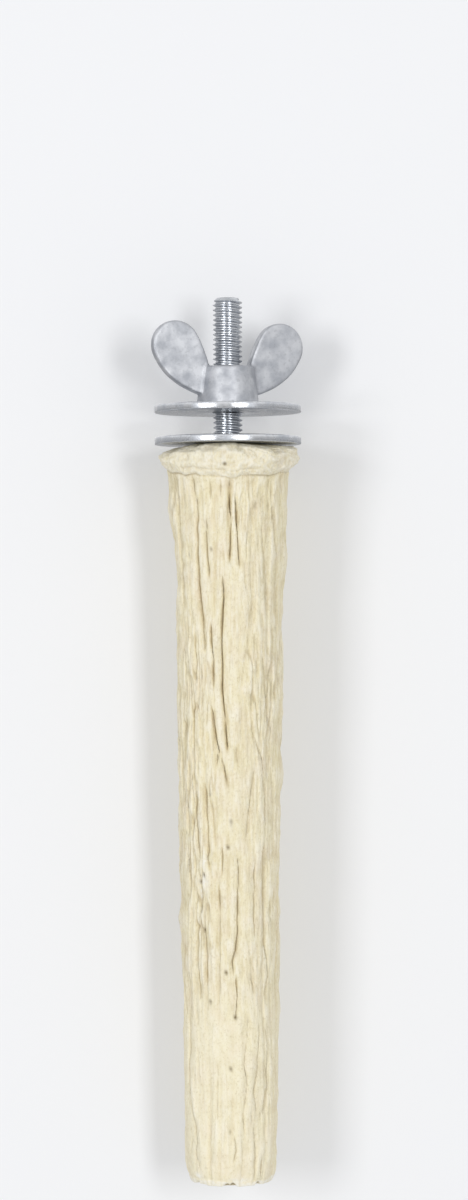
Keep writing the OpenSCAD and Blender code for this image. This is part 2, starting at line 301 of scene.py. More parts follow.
# A rise is where something starts, and how far on from there it is full. A layer of grain is
# its height, its run down the rod, its cells round the rod and its seed. Patches are a run,
# cells, a seed and a rise. On the collar and the end face, runs are shares of the way.

BACK_RISE = (68, 24)
# How a pixel's place is searched for
PLACE_ROUNDS = 4
GREATEST_SINE = 0.98
# Cracks of the front: how all wobble, and how each sways
CRACK_WOBBLE = (0.1, 2.6, 9, 71)
WOBBLE_U = 3.3
CRACK_GRAIN = (1, 3.1, 48, 72)
CRACK_SWAY = 0.12
# Their half width, and its shares from nought to 1 of the grain and of the depth
CRACK_HALF_WIDTH = 0.27
CRACK_GRAIN_SHARES = (0.72, 1.22)
CRACK_DEPTH_SHARES = (0.6, 1.1)
CRACK_END = 1.2
SHOULDER_HALF_WIDTH = 1.15
SHOULDER_DEPTH = 0.38
# Cracks of the back, whose half width and jitter are in furrows
BACK_JITTER = ((0.09, 3.4, FURROW_COUNT, 73), (0.1, 9, FURROW_COUNT, 107))
BACK_HALF_WIDTH = 0.11
BACK_GRAIN = (1, 3.7, FURROW_COUNT, 74)
BACK_GRAIN_SHARES = (0.8, 1.3)
BACK_PATCHES = (7, FURROW_COUNT, 108, -0.55, 0.5)
# How much of the solid's furrows is kept, on the back and on the front
FURROWS_KEPT = (0.56, 0.24)
# Plates: the levels of grain where the bark steps up
PLATE_LAYERS = ((1, 19, 20, 81), (0.6, 8, 38, 82))
PLATE_LEVELS = (-0.2, 0.35)
PLATE_EDGE = 0.14
PLATE_STEP = 0.17
# Fibres lie where their grain passes nought
FIBRE_LAYERS = ((1, 12, 52, 84), (0.5, 5, 100, 85))
FIBRE_HALF_WIDTH = 0.26
FIBRE_PATCHES = (8, 36, 86, -0.45, 0.6)
FIBRE_DEPTH = 0.3
FIBRE_SHADE = 0.4
# Their strength on lively and calm bark, and round the rod
FIBRE_SHARES = (1.05, 0.32)
FIBRE_FRONT = 0.76
FIBRE_SIDES = 0.5
FIBRE_RIGHT = -0.2
# Where the bark is calm, in patches and low down
CALM_PATCHES = (24, 10, 83, -0.5, 0.9)
CALM_RISE = (95, 30)
LOWEST_RISE = (108, 14)
LOWEST_SHARE = 0.55
CALM_LOOK_RISE = (104, 16)
# Threads between the fibres, veins, and lumps
THREAD_LAYERS = ((0.13, 5, 152, 87), (0.12, 2.4, 104, 90))
VEIN_GRAIN = (1, 4.5, 128, 101)
VEIN_HALF_WIDTH = 0.3
VEIN_DEPTH = 0.16
LUMP_LAYERS = ((0.12, 1.9, 40, 88), (0.05, 0.9, 90, 89))
SIDE_LUMPS = (0.15, 3.2, 22, 109)
# A hollow lies this far below the surface evened out over columns and rings
HOLLOW_BLUR = (5, 4)
HOLLOW_DEPTH = 0.28
# Pits on the sides and back, which the photograph doesn't show
HIDDEN_PITS = 22
PIT_SEED = 131
HIDDEN_DIRECTIONS = (80, 280)
HIDDEN_TOP_S = 2
HIDDEN_RADII = (0.22, 0.42)
# Reach as a share of the size, and depth
PIT_SPREAD = 1.75
DUST_SPREAD = 1.3
BARK_PIT_DEPTH = 0.3
COLLAR_PIT_DEPTH = 0.35

# The collar's rough grain, and how it fades at the top, and to a share at the lip
COLLAR_LAYERS = (
    (0.34, 1 / 3, 20, 91), (0.26, 1 / 6, 44, 92), (0.17, 1 / 11, 100, 93), (0.13, 1 / 18, 190, 94),
)
COLLAR_TOP_RISE = (0, 0.12)
COLLAR_LIP_RISE = (0.8, 0.2)
COLLAR_LIP_SHARE = 0.5
COLLAR_INSET = 0.55
# Pressed lumps: how flat they are on top, and how far up they lift the collar
LUMP_POWER = 4
LUMP_FADE_RISE = (0.1, 0.32)
LUMP_LIFT = 0.5
# The fold, whose place and half height are shares of the collar
FOLD_PLACE = 0.8
FOLD_WANDER = (0.07, 1, 13, 99)
FOLD_HALF_H = 0.045
FOLD_PATCHES = (1, 11, 100, 0.1, 0.3)
FOLD_DEPTH = 0.22
FOLD_SHADE = 0.3
# The collar's ragged lip, how open the groove below it is, and the painted shade along the lip's
# foot and in the groove
LIP_LAYERS = ((0.3, 1, 26, 97), (0.2, 1, 64, 98))
LIP_SHADE = 0.12
LIP_SHADE_RISE = (0.95, 0.05)
GROOVE_PATCHES = (1, 18, 102, -0.35, 0.7)
GROOVE_SHARES = (0.3, 1)
GROOVE_SHADES = (0.1, 0.7)
COLLAR_POWDER = 0.45

# The thin lip round the end of the rod, where the mould closed
TIP_LIP_H = 1.2
TIP_LIP_GROOVE = 0.16
TIP_LIP_HALF_H = 0.35
TIP_LIP_WANDER = (0.3, 1, 14, 103)
TIP_LIP_PATCHES = (1, 9, 104, -0.5, 0.5)
TIP_POWDER = 0.85
TIP_POWDER_GRAIN = (0.15, 1.3, 60, 105)
TIP_POWDER_RISE = (0, 0.5)
# Chips: small ones all round, how they draw the edge in, and where painted shade darkens the
# deeper ones
CHIP_GRAIN = (0.07, 2.5, 30, 95)
CHIP_POWER = 3
CHIP_INSET = 0.5
CHIP_SHADE_RISE = (0.3, 0.3)
CHIP_SHADE_POWER = 12
# The end face: its outmost ring, its hollow, where chips lower its edge, and the painted shade
# behind them
END_FIRST_SHARE = 0.94
END_HOLLOW = 0.35
END_HOLLOW_GRAIN = (0.35, 1 / 2, 16, 96)
END_ROUGH_GRAIN = (0.1, 1 / 9, 44, 106)
END_EDGE_RISE = (0.84, 0.16)
END_SHADE = 0.85
END_SHADE_RISE = (0.86, 0.07)
END_DEEP_SHADE = 0.6

# Noise in the cement: cells a millimetre along each axis, detail, roughness, levels where it
# starts and is full, and what it goes from and to
CEMENT_NOISES = {
    "blotches": ((0.09, 0.09, 0.06), 2, 0.5, 0.35, 0.65),
    "rosy": ((0.3, 0.3, 0.22), 3, 0.5, 0.45, 0.7),
    "streaks": ((1.1, 1.1, 0.08), 3, 0.5, 0.35, 0.7),
    "threads": ((2.2, 2.2, 0.3), 3, 0.7),
    "sand": ((2.0, 2.0, 1.5), 3, 0.75),
    "powder": ((1.6, 1.6, 1.0), 4, 0.7, 0.4, 0.58, 0.25, 0.95),
}
CALM_THREADS = 0.4
# Two ground tones, in display values, and the coats on them in their order: what a coat
# follows, the levels where it starts and is full, its strength and its tone
GROUND_TONES = ((238, 228, 192), (241, 233, 203))
CEMENT_COATS = (
    ("rosy", 0, 1, 0.4, (236, 220, 202)),
    # Painted shade darkens hollows, and ridges are painted paler, partly as pale dust and partly
    # as painted light
    ("hollow", 0, 1, 0.6, (210, 195, 158)),
    ("hollow", 0, -1, 0.75, (248, 243, 225)),
    ("streaks", 0, 1, 0.3, (228, 216, 182)),
    ("calm", 0, 1, 0.25, (250, 244, 222)),
    ("threads", 0.52, 0.72, 0.5, (208, 195, 160)),
    ("threads", 0.48, 0.3, 0.5, (249, 245, 230)),
    ("sand", 0.54, 0.72, 0.5, (202, 188, 152)),
    ("sand", 0.46, 0.3, 0.35, (250, 246, 234)),
    # Darker in cracks, partly as their own tone and partly as painted shade, and painted shade in
    # fibres, folds, the groove and chips
    ("crack", 0, 1, 0.6, (172, 151, 113)),
    ("powder", 0, 1, 1, (247, 245, 236)),
    # Dark small pits, and more painted shade on the end face behind chips
    ("pit_and_shade", 0, 1, 0.85, (112, 94, 62)),
)
CEMENT_SPECULAR = 0.3
CEMENT_ROUGHNESS = (0.3, 0.7, 0.82, 0.96)
# Fine relief: strength, and height in millimetres
SAND_BUMP = (0.8, 0.18)
THREAD_BUMP = (0.8, 0.2)
# Zinc: clouds and spots in its tone, rubbed lines and a soft grit
CLOUD_NOISE = ((0.35, 0.35, 0.35), 4, 0.5, 0.35, 0.65)
SPOT_NOISE = ((1.6, 1.6, 1.6), 3, 0.5, 0.56, 0.7)
SPOT_SHARE = 0.35
SPOT_TONE = (150, 152, 156)
LINE_NOISE = ((0.6, 7.0, 7.0), 2, 0.5)
LINE_ROUGHNESS = (0.3, 0.7, -0.05, 0.06)
LINE_BUMP = (0.25, 0.02)
GRIT_NOISE = ((9.0, 9.0, 9.0), 2, 0.5)
GRIT_BUMP = (0.3, 0.015)
# Each plating: its name, its clear and its dull tone, and how rough it is in each
BOLT_PLATE = ("zinc_bolt_plate", (206, 209, 213), (182, 186, 192), 0.22, 0.38)
WASHER_PLATE = ("zinc_washer_plate", (214, 216, 219), (190, 194, 200), 0.2, 0.36)
NUT_PLATE = ("zinc_cast_plate", (198, 200, 204), (172, 175, 181), 0.48, 0.6)

# The paper behind the rod: linear tone, roughness, half size, and how far behind the axis
PAPER_COLOUR = (0.876, 0.885, 0.905, 1.0)
PAPER_ROUGHNESS = 0.95
PAPER_HALF_SIZE = 2000
PAPER_Y = 20
# Lamps: name, direction from the front and tilt in degrees, width in metres, power in watts,
# and whether metal shows it
LAMPS = (
    ("lamp_left", -33, 4, 0.28, 3.5, True),
    ("lamp_right", 20, 4, 0.18, 3.42, True),
    ("lamp_back_right", 135, 12, 0.35, 1.8, False),
    ("lamp_back_left", 215, 12, 0.35, 1.3, False),
)
LAMP_H = 0.4
LAMP_DISTANCE = 1.2
LAMP_AIM_Z = -50
# The world: what the camera sees, how strongly it lights, and the grey bands that metal sees
# from straight below, at 0, to straight above, at 1
SKY_TONE = (243, 243, 244)
SKY_LIGHT = 0.625
SKY_ENDS = (0.75, 0.8)
SKY_BANDS = ((0.34, 0.6), (0.44, 0.32), (0.5, 0.6), (0.6, 0.95), (0.8, 1.0))
BAND_BLUE = 1.01


def eased(t):
    c = np.clip(t, 0, 1)
    return c * c * (3 - 2 * c)


def rising(t, start, span):
    """0 up to the start, and 1 from a span beyond it."""
    return eased((t - start) / span)


def slit(distance, half_width):
    return 1 - eased(np.abs(distance) / half_width)


def between(a, b, t):
    return a + (b - a) * t


def chance(i, j, seed):
    turns = i * NOISE_TURNS[0] + j * NOISE_TURNS[1] + seed * NOISE_TURNS[2]
    mixed = NOISE_GAIN * np.sin(np.radians(turns))
    return mixed - np.floor(mixed)


def noise(u, v, period, seed):
    """Smooth noise from 0 to 1 that repeats round the rod, the same as the solid's."""
    i, j = np.floor(u), np.floor(v)
    a, b = eased(u - i), eased(v - j)
    left, right = i % period, (i + 1) % period
    upper = between(chance(left, j, seed), chance(right, j, seed), a)
    lower = between(chance(left, j + 1, seed), chance(right, j + 1, seed), a)
    return between(upper, lower, b)


def grain(u, v, cells, seed):
    """Smooth noise from -1 to 1 on a seeded lattice, with a number of cells round the rod."""
    rows = int(np.max(v)) + 3
    lattice = np.random.default_rng(seed).uniform(-1, 1, (rows, cells))
    x = u * cells / FURROW_COUNT
    i, j = np.floor(x).astype(int), np.floor(v).astype(int)
    a, b = eased(x - i), eased(v - j)
    left, right = i % cells, (i + 1) % cells
    upper = between(lattice[j, left], lattice[j, right], a)
    lower = between(lattice[j + 1, left], lattice[j + 1, right], a)
    return between(upper, lower, b)


def layered(u, v, *layers):
    """Layers of grain, added up."""
    return sum(height * grain(u, v / run, cells, seed) for height, run, cells, seed in layers)


def patches(u, v, run, cells, seed, *rise):
    """Patches with soft edges, from 0 to 1."""
    return rising(grain(u, v / run, cells, seed), *rise)


def bark_angle(u, s):
    """Direction of the point u furrows round from the front, at depth s."""
    place = u * WANDER_PATCHES / FURROW_COUNT
    wander = WANDER_SHARE * (2 * noise(place, s / WANDER_RUN, WANDER_PATCHES, WANDER_SEED) - 1)
    return FRONT_ANGLE + (u + wander) * 360 / FURROW_COUNT


def rod_r(s):
    taper_d = between(ROD_TOP_D, ROD_TIP_D, s / ROD_LEN)
    flare_d = (NECK_D - ROD_TOP_D) * (1 - eased(s / FLARE_LEN))
    return (taper_d + flare_d) / 2


def turned(angle, middle):
    """How far an angle lies from another, from -180 to 180 degrees."""
    return (angle - middle + 180) % 360 - 180


def across_bark(angle, middle, s):
    """How far round the bark a point lies from a direction, in millimetres."""
    return np.radians(turned(angle, middle)) * rod_r(s)


def photo_place(px, py):
    """Direction and depth of the point of the bark that shows at a pixel."""
    right = (px - PHOTO_W / 2) * PHOTO_MM
    down = (py - PHOTO_H / 2) * PHOTO_MM
    across = right * math.cos(LEAN) - down * math.sin(LEAN)
    along = down * math.cos(LEAN) + right * math.sin(LEAN)
    front = 0.0
    for _ in range(PLACE_ROUNDS):
        nearer = 1 - front / CAMERA_DISTANCE
        x = CAMERA_X + across * nearer
        s = CAMERA_S + along * nearer
        r = rod_r(s)
        front = math.sqrt(max(r * r - x * x, 0))
    sine = max(-GREATEST_SINE, min(GREATEST_SINE, x / r))
    return FRONT_ANGLE + math.degrees(math.asin(sine)), s


def front_cracks(angle, s):
    """How far the cracks of the front cut in, and their soft shoulders."""
    slits, shoulders = [], []
    row_s = s[:, :1]
    wobble = layered(WOBBLE_U, row_s, CRACK_WOBBLE)
    for n, (depth, *course) in enumerate(CRACKS_PX):
        places = [photo_place(px, py) for px, py in zip(course[::2], course[1::2])]
        course_s = [p[1] for p in places]
        middle = np.interp(row_s, course_s, [p[0] for p in places])
        own = layered(n, row_s, CRACK_GRAIN)
        across = across_bark(angle, middle, s) + wobble + CRACK_SWAY * own
        cut = depth * rising(row_s - course_s[0], -CRACK_END, 2 * CRACK_END)
        cut = cut * rising(course_s[-1] - row_s, -CRACK_END, 2 * CRACK_END)
        half_width = CRACK_HALF_WIDTH * between(*CRACK_GRAIN_SHARES, own)
        half_width = half_width * between(*CRACK_DEPTH_SHARES, depth)
        slits.append(cut * slit(across, half_width))
        shoulders.append(cut * slit(across, SHOULDER_HALF_WIDTH))
    return np.max(slits, axis=0), np.max(shoulders, axis=0)


def back_cracks(u, s):
    """Cracks of the back, each in a furrow of the solid, and those furrows."""
    k = np.round(u)
    gate = rising(noise(k, s / FURROW_RUN, FURROW_COUNT, GATE_SEED), *GATE_RISE)
    furrow = 1 - eased(2 * np.abs(u - k) / FURROW_WIDTH_SHARE)
    half_width = BACK_HALF_WIDTH * between(*BACK_GRAIN_SHARES, layered(k, s, BACK_GRAIN))
    cut = slit(u - k + layered(k, s, *BACK_JITTER), half_width)
    return gate * patches(k, s, *BACK_PATCHES) * cut, furrow * between(SHALLOW_SHARE, 1, gate)


def outline_swells(angle, s):
    """How far the rod's sides stand out from its plain taper."""
    return sum(
        height * slit(turned(angle, FRONT_ANGLE + direction), SWELL_REACH)
        * slit(s - middle_s, half_length)
        for direction, middle_s, half_length, height in OUTLINE_SWELLS)


def plate_dips(u, s):
    """Plates of bark that stand a little higher than their neighbours."""
    plates = layered(u, s, *PLATE_LAYERS)
    steps = sum(rising(plates, level, PLATE_EDGE) for level in PLATE_LEVELS)
    return PLATE_STEP * (len(PLATE_LEVELS) - steps)


def fibre_strength(u, s, side):
    """How strong the fibres are: less in calm patches and low down."""
    calm = between(patches(u, s, *CALM_PATCHES), 1, rising(s, *CALM_RISE))
    round_rod = FIBRE_FRONT + FIBRE_SIDES * np.abs(side) + FIBRE_RIGHT * side
    lowest = between(1, LOWEST_SHARE, rising(s, *LOWEST_RISE))
    return between(*FIBRE_SHARES, calm) * round_rod * lowest


def bark_relief(u, s, angle):
    """How far the bark lies below its highest level, the dark tone and painted shade of its cracks
    and fibres, and how calm it looks.
    """
    # 1 on the front, which the photograph shows, and 0 on the back
    front = 1 - rising(np.abs(turned(angle, FRONT_ANGLE)), *BACK_RISE)
    front_slits, shoulders = front_cracks(angle, s)
    back_slits, furrows = back_cracks(u, s)
    slits = np.maximum(front * front_slits, (1 - front) * back_slits)
    valleys = front * SHOULDER_DEPTH * shoulders
    valleys = valleys + between(*FURROWS_KEPT, front) * FURROW_DEPTH * furrows
    side = np.sin(np.radians(turned(angle, FRONT_ANGLE)))
    strength = fibre_strength(u, s, side)
    # Fibres: thin grooves that run along the rod, break off and meet
    fibres = slit(layered(u, s, *FIBRE_LAYERS), FIBRE_HALF_WIDTH)
    fibres = fibres * patches(u, s, *FIBRE_PATCHES) * strength
    veins = VEIN_DEPTH * slit(layered(u, s, VEIN_GRAIN), VEIN_HALF_WIDTH)
    threads = (layered(u, s, *THREAD_LAYERS) + veins) * strength
    lumps = layered(u, s, *LUMP_LAYERS) + side ** 2 * layered(u, s, SIDE_LUMPS)
    ridges = RIDGE_LUMP * noise(u, s / RIDGE_RUN, FURROW_COUNT, RIDGE_SEED)
    dip = valleys + slits + plate_dips(u, s) + FIBRE_DEPTH * fibres + threads + lumps + ridges
    dip = dip - outline_swells(angle, s)
    return dip, np.clip(slits + FIBRE_SHADE * fibres, 0, 1), rising(s, *CALM_LOOK_RISE)


def blurred(field, across, along):
    """The field evened out over a number of columns and rings."""
    rows, columns = field.shape
    padded = np.concatenate([field, field[::-1]])
    turns_s = np.fft.fftfreq(2 * rows)[:, None] * along
    turns_u = np.fft.fftfreq(columns)[None, :] * across
    keep = np.exp(-2 * np.pi ** 2 * (turns_s ** 2 + turns_u ** 2))
    return np.real(np.fft.ifft2(np.fft.fft2(padded) * keep))[:rows]


def hollow(dip):
    """How hollow the surface is at each point, from -1 on a ridge to 1 in a groove."""
    return np.clip((dip - blurred(dip, *HOLLOW_BLUR)) / HOLLOW_DEPTH, -1, 1)


def pit_places():
    """Direction, depth down the rod and radius of each pit."""
    places = [(*photo_place(px, py), radius) for px, py, radius in PITS_PX]
    random = np.random.default_rng(PIT_SEED)
    directions = FRONT_ANGLE + random.uniform(*HIDDEN_DIRECTIONS, HIDDEN_PITS)
    depths = random.uniform(HIDDEN_TOP_S, ROD_LEN - TIP_LEN, HIDDEN_PITS)
    return places + list(zip(directions, depths, random.uniform(*HIDDEN_RADII, HIDDEN_PITS)))


def pits(angle, s):
    """How far the small pits cut in, from 0 to 1."""
    return np.max([
        slit(np.hypot(across_bark(angle, pit_angle, s), s - pit_s), radius * PIT_SPREAD)
        for pit_angle, pit_s, radius in pit_places()], axis=0)


def dust(angle, s):
    """Where white dust lies on the front, from 0 to 1."""
    spots = []
    for px, py, across_px, along_px in DUST_PX:
        dust_angle, dust_s = photo_place(px, py)
        across = across_bark(angle, dust_angle, s) / (across_px * PHOTO_MM)
        along = (s - dust_s) / (along_px * PHOTO_MM)
        spots.append(slit(np.hypot(across, along), DUST_SPREAD))
    return np.max(spots, axis=0)


def shared(u, shares):
    """The shares round the collar, eased from each to the next."""
    p = u * len(shares) / FURROW_COUNT
    i = np.floor(p).astype(int)
    table = np.array(shares)
    here, following = table[i % len(shares)], table[(i + 1) % len(shares)]
    return between(here, following, eased(p - i))


def lip_drop(u):
    return LIP_WAVE * shared(u, LIP_SHARES) + layered(u, 0, *LIP_LAYERS)


def collar_place(u, c):
    """Depth and radius of the collar's side. c runs from its top edge down to its lip."""
    upper = np.interp(c / WAIST_SHARE, *zip(*UPPER_SHARES))
    lower = np.interp((c - WAIST_SHARE) / (1 - WAIST_SHARE), *zip(*LOWER_SHARES))
    top_r = between(COLLAR_TOP_D, SEAT_D, shared(u, BEVEL_SHARES)) / 2
    lump = noise(u * LUMP_PATCHES / FURROW_COUNT, upper, LUMP_PATCHES, LUMP_SEED)
    waist_r = COLLAR_D / 2 - COLLAR_LUMP * lump
    r = np.where(c < WAIST_SHARE, between(top_r, waist_r, upper),
                 between(waist_r, rod_r(COLLAR_H) + LIP_OVER, lower))
    sink = SEAT_SINK * shared(u, SINK_SHARES) * (1 - eased(c / WAIST_SHARE))
    return COLLAR_H * c + sink + eased(c) * lip_drop(u), r


def collar_lumps(angle, c):
    """How far the lumps under the washer stand out from the collar's upper edge."""
    lumps = []
    for direction, half_width, height in COLLAR_LUMPS:
        off = np.radians(turned(angle, FRONT_ANGLE + direction)) * COLLAR_TOP_D / 2
        lumps.append(height * (1 - np.clip(off / half_width, -1, 1) ** LUMP_POWER))
    return np.max(lumps, axis=0) * (1 - rising(c, *LUMP_FADE_RISE))


def head_r(angle):
    return BOLT_HEAD_W / 2 / np.cos(np.radians(angle % 60 - 30))


def ring_at(angle, r, z, *more):
    """Rings of points, from fields that may change with the direction."""
    turn = np.radians(angle)
    fields = (r * np.cos(turn), r * np.sin(turn), z, *more)
    return np.stack([field + 0 * turn for field in fields], axis=-1)


# What the mesh of the cement keeps for its material at each point
CEMENT_LOOKS = ("crack", "pit_and_shade", "hollow", "dust", "calm")


def cement_rings(s, r, angle, *looks):
    """Rings of the casting. Looks that aren't given are nought."""
    left_out = [0] * (len(CEMENT_LOOKS) - len(looks))
    return ring_at(angle, r, HEAD_TOP_Z - s, *looks, *left_out)


def pocket_rings(u):
    """The pocket of the bolt, from the underside of its head up, and the flat seat."""
    angle = bark_angle(u, 0)
    head_s = HEAD_TOP_Z - BOLT_BOTTOM_Z
    hexagon = head_r(angle)
    places = (
        (head_s, POCKET_CENTRE_R), (head_s, hexagon), (head_s - BOLT_HEAD_H, hexagon),
        (head_s - BOLT_HEAD_H, BOLT_D / 2), (0, BOLT_D / 2), (0, SEAT_D / 2),
    )
    return np.concatenate([cement_rings(s, r, angle) for s, r in places])


def collar_rings(u_row):
    """The collar, with lumps of several sizes and a fold where it ran over."""
    u, c = np.meshgrid(u_row, np.linspace(0, 1, COLLAR_RINGS))
    s, r = collar_place(u, c)
    angle = bark_angle(u, s)
    relief_share = between(1, COLLAR_LIP_SHARE, rising(c, *COLLAR_LIP_RISE))
    relief_share = relief_share * rising(c, *COLLAR_TOP_RISE)
    fold = slit(c - FOLD_PLACE - layered(u, 0, FOLD_WANDER), FOLD_HALF_H)
    fold = fold * patches(u, 0, *FOLD_PATCHES)
    swell = collar_lumps(angle, c)
    dip = FOLD_DEPTH * fold - layered(u, c, *COLLAR_LAYERS) - swell
    pit_and_shade = pits(angle, s)
    # Painted shade in the fold and along the foot of the lip
    crack = FOLD_SHADE * fold + LIP_SHADE * rising(c, *LIP_SHADE_RISE)
    pale = np.maximum(dust(angle, s), COLLAR_POWDER)
    lifted_s = s - LUMP_LIFT * np.minimum(swell, s)
    inset_r = r - COLLAR_INSET - dip * relief_share - COLLAR_PIT_DEPTH * pit_and_shade
    return cement_rings(lifted_s, inset_r, angle, crack, pit_and_shade, hollow(dip), pale)


def groove_ring(u):
    """The groove under the collar's lip, half filled in places, with painted shade that is darker
    where it is open.
    """
    s = COLLAR_H + lip_drop(u)
    open_share = patches(u, 0, *GROOVE_PATCHES)
    r = rod_r(COLLAR_H) - LIP_GROOVE * between(*GROOVE_SHARES, open_share)
    return cement_rings(s, r, bark_angle(u, s), between(*GROOVE_SHADES, open_share))


def bark_rings(u_row):
    u, down = np.meshgrid(u_row, np.linspace(0, 1, BARK_RINGS))
    top_s = COLLAR_H + lip_drop(u) + LIP_GROOVE_H
    s = between(top_s, ROD_LEN - TIP_LEN, down)
    angle = bark_angle(u, s)
    fade = eased((s - top_s) / RING_STEP + NECK_FURROW_SHARE)
    dip, crack, calm = bark_relief(u, s, angle)
    pit_and_shade = pits(angle, s)
    r = rod_r(s) - fade * dip - BARK_PIT_DEPTH * pit_and_shade
    return cement_rings(s, r, angle, crack * fade, pit_and_shade, hollow(dip), dust(angle, s), calm)


def tip_chips(u, s, angle):
    """How deep the chips in the edge of the tip are."""
    chips = [np.abs(layered(u, s, CHIP_GRAIN))]
    for direction, half_width, depth in TIP_CHIPS:
        across = across_bark(angle, FRONT_ANGLE + direction, s)
        chips.append(depth * slit(across, half_width))
    return np.max(chips, axis=0)


def tip_rings(u_row):
    """The rod's end, which turns in, with a thin lip and a chipped edge."""
    last_turn = np.radians(TIP_TURN)
    u, turn = np.meshgrid(u_row, np.linspace(0, last_turn, TIP_RINGS + 1)[1:])
    s = ROD_LEN - TIP_LEN + TIP_LEN * np.sin(turn) / np.sin(last_turn)
    round_share = (1 - np.cos(turn)) / (1 - np.cos(last_turn))
    angle = bark_angle(u, s)
    dip, crack, calm = bark_relief(u, s, angle)
    fade = between(1, TIP_FURROW_SHARE, round_share)
    from_end = ROD_LEN - s - layered(u, 0, TIP_LIP_WANDER)
    lip_line = slit(from_end - TIP_LIP_H, TIP_LIP_HALF_H)
    lip_line = lip_line * patches(u, 0, *TIP_LIP_PATCHES)
    chips = tip_chips(u, s, angle)
    # Painted shade in the deeper chips near the edge
    chip_shade = rising(chips, *CHIP_SHADE_RISE) * round_share ** CHIP_SHADE_POWER
    chips = chips * round_share ** CHIP_POWER
    r = rod_r(s) - fade * dip - TIP_INSET * round_share
    r = r - TIP_LIP_GROOVE * lip_line - CHIP_INSET * chips
    powder = rising(TIP_LIP_H - from_end, *TIP_POWDER_RISE)
    powder = powder * (TIP_POWDER + layered(u, s, TIP_POWDER_GRAIN)) * (1 - chip_shade)
    looks = np.maximum(crack * fade, chip_shade), pits(angle, s), hollow(dip) * fade
    tip = cement_rings(s - chips, r, angle, *looks, np.maximum(dust(angle, s), powder), calm)
    return np.concatenate([tip, end_rings(u[-1:], r[-1:], chips[-1:], chip_shade[-1:])])


def end_rings(u, edge_r, chips, chip_shade):
    """The broken end face, with painted shade behind a chip in its edge."""
    angle = bark_angle(u, ROD_LEN)
    rings = []
    for share in (END_FIRST_SHARE, *np.linspace(1, 0, END_RINGS + 1)[1:-1]):
        sunk = END_HOLLOW + layered(u, share, END_HOLLOW_GRAIN)
        sunk = sunk + np.abs(layered(u, share, END_ROUGH_GRAIN))
        s = ROD_LEN - chips * rising(share, *END_EDGE_RISE) - sunk * (1 - share)
        # Painted shade on the face behind a chip, part of it given through the pit tone
        shade = END_SHADE * chip_shade * rising(share, *END_SHADE_RISE)
        rings.append(cement_rings(s, edge_r * share, angle, shade, END_DEEP_SHADE * shade))
    return np.concatenate(rings)


def lofted_mesh(name, grid, first_cap=True, last_cap=True, seam_step=0):
    """A skin over rings of points, with a fan at an end that is capped.

    Where the rings wind like a thread, one turn ends seam_step rings further on.
    """
    rows, columns = grid.shape[:2]
    verts = grid[:, :, :3].reshape(-1, 3)
    ends = np.array([[0, 0, grid[0, :, 2].mean()], [0, 0, grid[-1, :, 2].mean()]])
    verts = np.concatenate([verts, ends]) * MM
    i, j = np.meshgrid(np.arange(rows - 1), np.arange(columns), indexing="ij")
    step = np.where(j == columns - 1, seam_step, 0)
    here = np.minimum(i + step, rows - 1) * columns + (j + 1) % columns
    below = np.minimum(i + 1 + step, rows - 1) * columns + (j + 1) % columns
    quads = np.stack([i * columns + j, (i + 1) * columns + j, below, here], axis=-1)
    faces = quads.reshape(-1, 4).tolist()
    last, caps = (rows - 1) * columns, rows * columns
    if first_cap:
        faces += [[k, (k + 1) % columns, caps] for k in range(columns)]
    if last_cap:
        faces += [[last + (k + 1) % columns, last + k, caps + 1] for k in range(columns)]
    faces = [list(dict.fromkeys(face)) for face in faces]
    mesh = bpy.data.meshes.new(name)
    mesh.from_pydata(verts.tolist(), [], [face for face in faces if len(face) > 2])
    mesh.update()
    return mesh


def placed(name, data):
    """An object in the scene, for a mesh, a lamp or a camera."""
    item = bpy.data.objects.new(name, data)
    bpy.context.scene.collection.objects.link(item)
    return item


def add_piece(mesh, material, body, node):
    piece = placed(mesh.name, mesh)
    mesh.materials.clear()
    mesh.materials.append(material)
    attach(piece, body)
    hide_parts(node)


def make_cement(material):
    u_row = np.arange(COLUMNS) * FURROW_COUNT / COLUMNS
    u = u_row[None, :]
    grid = np.concatenate([
        pocket_rings(u), collar_rings(u_row), groove_ring(u), bark_rings(u_row), tip_rings(u_row)])
    mesh = lofted_mesh("cement_rod", grid)
    mesh.shade_smooth()
    add_piece(mesh, material, "perch", "cement_perch")
    # The looks follow the three coordinates, and the middles of the two caps have none
    for n, name in enumerate(CEMENT_LOOKS, 3):
        attribute = mesh.attributes.new(name, "FLOAT", "POINT")
        values = np.append(grid[:, :, n].ravel(), [0, 0])
        attribute.data.foreach_set("value", values.astype(np.float32))


def cleaned(meshes, crisp_angle):
    """One mesh from several: joins points that fall together, and marks the crisp edges."""
    mesh = meshes[0]
    work = bmesh.new()
    for part in meshes:
        work.from_mesh(part)
    for part in meshes[1:]:
        bpy.data.meshes.remove(part)
    bmesh.ops.remove_doubles(work, verts=work.verts, dist=JOIN_DISTANCE * MM)
    bmesh.ops.dissolve_degenerate(work, edges=work.edges, dist=SLIVER_DISTANCE * MM)
    loose = [vert for vert in work.verts if not vert.link_faces]
    bmesh.ops.delete(work, geom=loose, context="VERTS")
    bmesh.ops.recalc_face_normals(work, faces=work.faces)
    work.to_mesh(mesh)
    work.free()
    mesh.shade_smooth()
    mesh.set_sharp_from_angle(angle=math.radians(crisp_angle))
    return mesh


def bolt_end(angle):
    """The bolt's end, a little domed, out to the foot of its chamfer."""
    end_r = BOLT_D / 2 - STUD_CHAMFER
    places = [(end_r * share, STUD_END_Z - END_DOME / 2 * share) for share in END_SHARES]
    places.append((end_r, STUD_END_Z - END_DOME))
    return np.stack([ring_at(angle, r, z) for r, z in places])


